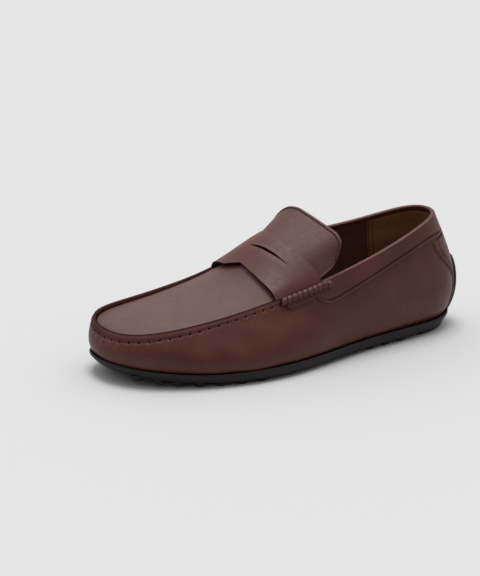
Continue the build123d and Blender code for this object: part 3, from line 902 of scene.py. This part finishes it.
def make_tongue():
    """The tongue with its turned edge, the facing behind it, and a row of stitches along its edge."""
    t = np.linspace(0, 1, 161)[:, None]
    b = np.linspace(0, 1, 70)[None, :]
    height = np.linalg.norm(through(TONGUE_TIP, t[:, 0]) - through(TONGUE_ROOT, t[:, 0]), axis=1)[:, None]
    from_edge = np.minimum((1 - b) * height, np.minimum(t, 1 - t) * TONGUE_WIDTH + 0 * b)
    behind = 1.2 * np.clip(1 - from_edge / 1.3, 0, 1) ** 2
    behind = behind - 0.35 * smooth(from_edge, 0, 1) * (1 - smooth(from_edge, 2.4, 3.2))
    behind = behind + 0.25 * bump(from_edge - 3.2, 0.4)
    tongue = grid_object("tongue_leather", tongue_point(t, b, behind), [TONGUE_GRAIN, DARK_EDGE_THREAD_AND_SHADE])
    thicken(tongue, 1.2)
    facing = grid_object("tongue_facing_leather", tongue_point(t, b, 1.75), [DARK_LINING])
    thicken(facing, 0.8)
    places = np.linspace(0.13, 0.92, 36)
    height = np.linalg.norm(through(TONGUE_TIP, places) - through(TONGUE_ROOT, places), axis=1)
    row = 1 - 2.5 / height
    centre = tongue_point(places, row, -0.2)
    along = tongue_point(places + 0.005, row, 0) - tongue_point(places - 0.005, row, 0)
    normal = tongue_point(places, row, -1) - tongue_point(places, row, 0)
    seam = threads("tongue_thread", [stitch(c, a, n, 1.5, 0.2) for c, a, n in zip(centre, along, normal)],
                   0.38, DARK_EDGE_THREAD_AND_SHADE, sides=6)
    for piece, node, slot in ((tongue, "tongue", "grained_leather"), (facing, "tongue_facing", "dark_lining"),
                              (seam, "tongue_stitching", "thread")):
        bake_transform(piece)
        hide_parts(node)


# ---------------------------------------------------------------- rubber sole

SOLE_COUNT = 520


def ring_profile(profile):
    """Rings round the sole from (inset, height, undercut, step) rows. undercut draws the row in at the toe
    and heel, and step is its share of the rise towards the heel."""
    u = np.linspace(0, STATIONS, SOLE_COUNT, endpoint=False)
    ends = near(u, 0, 2.4) * 3.6 + near(u, TOE, 3.0) * 3.8
    rows = []
    for inset, height, undercut, step in profile:
        row = outline(u, inset + undercut * ends)
        row[:, 2] += height + step * HEEL_STEP * smooth(row[:, 1], *STEP_RANGE)
        rows.append(row)
    return np.array(rows)


def stud(x, y):
    """A rubber stud with a rounded edge, standing down from the sole: rows of a closed grid."""
    sides = 24
    profile = [(1.12, STUD_HEIGHT + 1.5), (1.06, STUD_HEIGHT), (1.0, STUD_HEIGHT - 0.4), (0.97, 0.9),
               (0.93, 0.4), (0.82, 0.08), (0.6, 0.0), (0.02, 0.0)]
    angle = np.linspace(0, 2 * math.pi, sides, endpoint=False)
    base = lift(np.array(y))
    return np.array([[(x + STUD_RADIUS * s * math.cos(a), y + STUD_RADIUS * s * math.sin(a), base + z)
                      for a in angle] for s, z in profile])


def stud_places():
    """Plan places of the studs: round the edge, and in rows across the tread, with none under the waist."""
    around = np.linspace(0, STATIONS, 1301)
    path = outline(around, STUD_INSET)
    travelled = np.concatenate([[0], np.cumsum(np.linalg.norm(np.diff(path, axis=0), axis=1))])
    stops = np.interp(np.arange(STUD_PITCH, travelled[-1], STUD_PITCH), travelled, around)
    places = [(x, y) for x, y, _ in outline(stops, STUD_INSET)]
    field = outline(np.linspace(0, STATIONS, 200, endpoint=False), 16)[:, :2]
    places += [(x, y) for y in range(-122, 130, 14) for x in range(-39, 46, 14) if inside(x, y, field)]
    return [(x, y) for x, y in places if not WAIST[0] < y < WAIST[1] and y < LUG_START - 6 and lift(y) < 4]


def make_heel_lug():
    """Solid horseshoe of tread behind the heel studs, in rows from its inner to its outer foot."""
    u = np.linspace(-LUG_REACH, LUG_REACH, 120)
    taper = np.clip((LUG_REACH - np.abs(u)) / 0.25, 0, 1) ** 0.5
    profile = [(13.5, 3.2), (13.2, 1.0), (12.6, 0.1), (5.5, 0.0), (4.6, 0.3), (4.0, 1.2), (3.6, 3.4)]
    middle = 8.5
    rows = []
    for inset, height in profile:
        row = outline(u, middle + (inset - middle) * (0.25 + 0.75 * taper))
        row[:, 2] += STUD_HEIGHT + 0.4 - (STUD_HEIGHT + 0.4 - height) * taper
        rows.append(row)
    lug = grid_object("heel_lug", np.array(rows), [RUBBER], closed_u=True)
    fix_normals(lug)
    return lug


def make_sole():
    """The rubber unit: its floor and rim with the studs, the up-swept heel tab and the heel lug."""
    profile = [(9.0, STUD_HEIGHT, 1, 0), (3.4, STUD_HEIGHT, 1, 0), (2.0, 2.7, 1, 0), (1.1, 3.1, 0.95, 0),
               (0.6, 3.9, 0.85, 0.1), (0.3, 5.2, 0.55, 0.3), (0, 7.2, 0.1, 0.8), (0.1, 8.4, 0, 1),
               (0.4, 9.0, 0, 1), (1.0, LIP_TOP, 0, 1), (1.6, 9.1, 0, 1), (1.8, 8.6, 0, 1), (1.85, 6.6, 0, 0)]
    rim = ring_profile(profile)
    floor_low = layer(9.0, STUD_HEIGHT, 14, SOLE_COUNT)[1:]
    floor_high = layer(1.85, SOLE_TOP, 16, SOLE_COUNT)[1:]
    points = np.concatenate([floor_low[::-1], rim, floor_high])
    vertices = list(points.reshape(-1, 3))
    faces = grid_faces(*points.shape[:2], closed_v=True)
    n = points.shape[1]
    last = len(vertices) - n
    faces.append(tuple(range(n)))
    faces.append(tuple(reversed(range(last, last + n))))
    for x, y in stud_places():
        rows = stud(x, y)
        base = len(vertices)
        vertices.extend(rows.reshape(-1, 3))
        faces.extend(grid_faces(len(rows), rows.shape[1], closed_v=True, base=base))
        faces.append(tuple(base + (len(rows) - 1) * rows.shape[1] + k for k in range(rows.shape[1])))
    sole = new_object("rubber_sole", vertices, faces, [RUBBER])
    fix_normals(sole)

    side = np.linspace(-1, 1, 61)[None, :]
    v = np.linspace(0, 1, 60)[:, None]
    width = 0.66 * np.sqrt(np.clip(1 - np.clip((v - 0.72) / 0.28, 0, 1) ** 2, 0.0005, 1))
    edge = np.minimum(np.clip((1 - np.abs(side)) / 0.12, 0, 1), np.clip((1 - v) / 0.06, 0, 1)) ** 0.5
    tab = grid_object("heel_tab", wall(side * width, v * 0.56, 1.4 + 1.9 * edge), [RUBBER])
    thicken(tab, 1.6)
    for piece in (sole, tab, make_heel_lug()):
        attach(piece, UPPER)
    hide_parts("outsole")


def inside(x, y, polygon):
    """Whether a plan point lies inside a polygon."""
    ax, ay = polygon.T
    bx, by = np.roll(polygon, -1, axis=0).T
    crosses = (ay > y) != (by > y)
    with np.errstate(divide="ignore", invalid="ignore"):
        at = ax + (y - ay) * (bx - ax) / (by - ay)
    return bool(np.count_nonzero(crosses & (x < at)) % 2)


def fix_normals(obj):
    """Makes every face of a closed mesh point outwards."""
    mesh = bmesh.new()
    mesh.from_mesh(obj.data)
    bmesh.ops.recalc_face_normals(mesh, faces=mesh.faces)
    mesh.to_mesh(obj.data)
    mesh.free()


# ---------------------------------------------------------------- build

make_wrapper()
make_plug_threads()
make_plug()
make_strap()
for roll_side, roll_name in ((-1, "lateral"), (1, "medial")):
    make_roll(roll_side, roll_name)
    make_flange(roll_side, roll_name)
make_collar()
make_backstay()
quarter_back = LINING_JOINT - 0.02
quarter_front = 7.3
heel_reach = LINING_JOINT + 0.02
make_lining("quarter_lining_out", "quarter_lining_lateral", quarter_back, quarter_front, -3.0, LINING_TOP,
            DARK_LINING)
make_lining("quarter_lining_in", "quarter_lining_medial", STATIONS - quarter_front, STATIONS - quarter_back,
            -3.0, LINING_TOP, DARK_LINING)
make_lining("heel_lining_suede", "heel_lining", -heel_reach, heel_reach, -4.1, LINING_TOP,
            SUEDE)
make_lining("toe_lining", "vamp_lining", quarter_front, STATIONS - quarter_front, -2.8, 0.93,
            DARK_LINING)
make_lining_seams()
make_sock()
make_tongue()
make_sole()

for node, material in (("insole_board", BOARD), ("footbed_foam", FOAM), ("heel_counter", BOARD)):
    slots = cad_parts[node].data.materials
    slots.clear()
    slots.append(material)


# ---------------------------------------------------------------- floor, light and camera

FLOOR_REACH = 9000


def make_floor():
    """A plain pale floor, just below the studs."""
    corners = [(x * FLOOR_REACH, y * FLOOR_REACH, 0) for x, y in ((-1, -1), (1, -1), (1, 1), (-1, 1))]
    floor = new_object("floor", corners, [(0, 1, 2, 3)], [FLOOR], smooth_shading=False)
    floor.location.z = -0.0001


SOFTBOX = Vector((-0.50, 0.20, 0.81))
OVERHEAD = Vector((-0.12, 0.05, 1.0))


def make_light():
    """A large soft light above and behind the shoe: a bright side of the sky, and a wide sun from there."""
    world = bpy.data.worlds.new("studio")
    bpy.context.scene.world = world
    world.use_nodes = True
    tree = world.node_tree
    background = tree.nodes["Background"]
    coords = tree.nodes.new("ShaderNodeTexCoord")
    towards = tree.nodes.new("ShaderNodeVectorMath")
    towards.operation = "DOT_PRODUCT"
    towards.inputs[1].default_value = SOFTBOX.normalized()
    tree.links.new(coords.outputs["Generated"], towards.inputs[0])
    tree.links.new(ramp(tree, towards.outputs["Value"], 0.11, 1.10, -0.3, 0.9), background.inputs["Color"])
    sun = bpy.data.lights.new("softbox", "SUN")
    sun.energy = 1.75
    sun.angle = math.radians(28)
    lamp = bpy.data.objects.new("softbox", sun)
    lamp.rotation_euler = (-OVERHEAD).to_track_quat("-Z", "Y").to_euler()
    bpy.context.scene.collection.objects.link(lamp)


CAMERA_AZIMUTH = math.radians(60)
CAMERA_ELEVATION = math.radians(20.2)
CAMERA_DISTANCE = 1.45
CAMERA_LENS = 151.3
AIM_RIGHT = -0.0331
AIM_UP = 0.0436


def make_camera():
    """A camera at the photograph's angle, aimed a little beside the shoe's origin."""
    right = Vector((math.cos(CAMERA_AZIMUTH), math.sin(CAMERA_AZIMUTH), 0))
    back = Vector((math.sin(CAMERA_AZIMUTH) * math.cos(CAMERA_ELEVATION),
                   -math.cos(CAMERA_AZIMUTH) * math.cos(CAMERA_ELEVATION), math.sin(CAMERA_ELEVATION)))
    up = back.cross(right)
    camera = bpy.data.objects.new("camera", bpy.data.cameras.new("camera"))
    camera.data.sensor_fit = "HORIZONTAL"
    camera.data.sensor_width = 36
    camera.data.lens = CAMERA_LENS
    camera.location = back * CAMERA_DISTANCE
    aim = right * AIM_RIGHT + up * AIM_UP - camera.location
    camera.rotation_euler = aim.to_track_quat("-Z", "Y").to_euler()
    bpy.context.scene.collection.objects.link(camera)
    bpy.context.scene.camera = camera


make_floor()
make_light()
make_camera()
bpy.context.scene.view_settings.view_transform = "Standard"
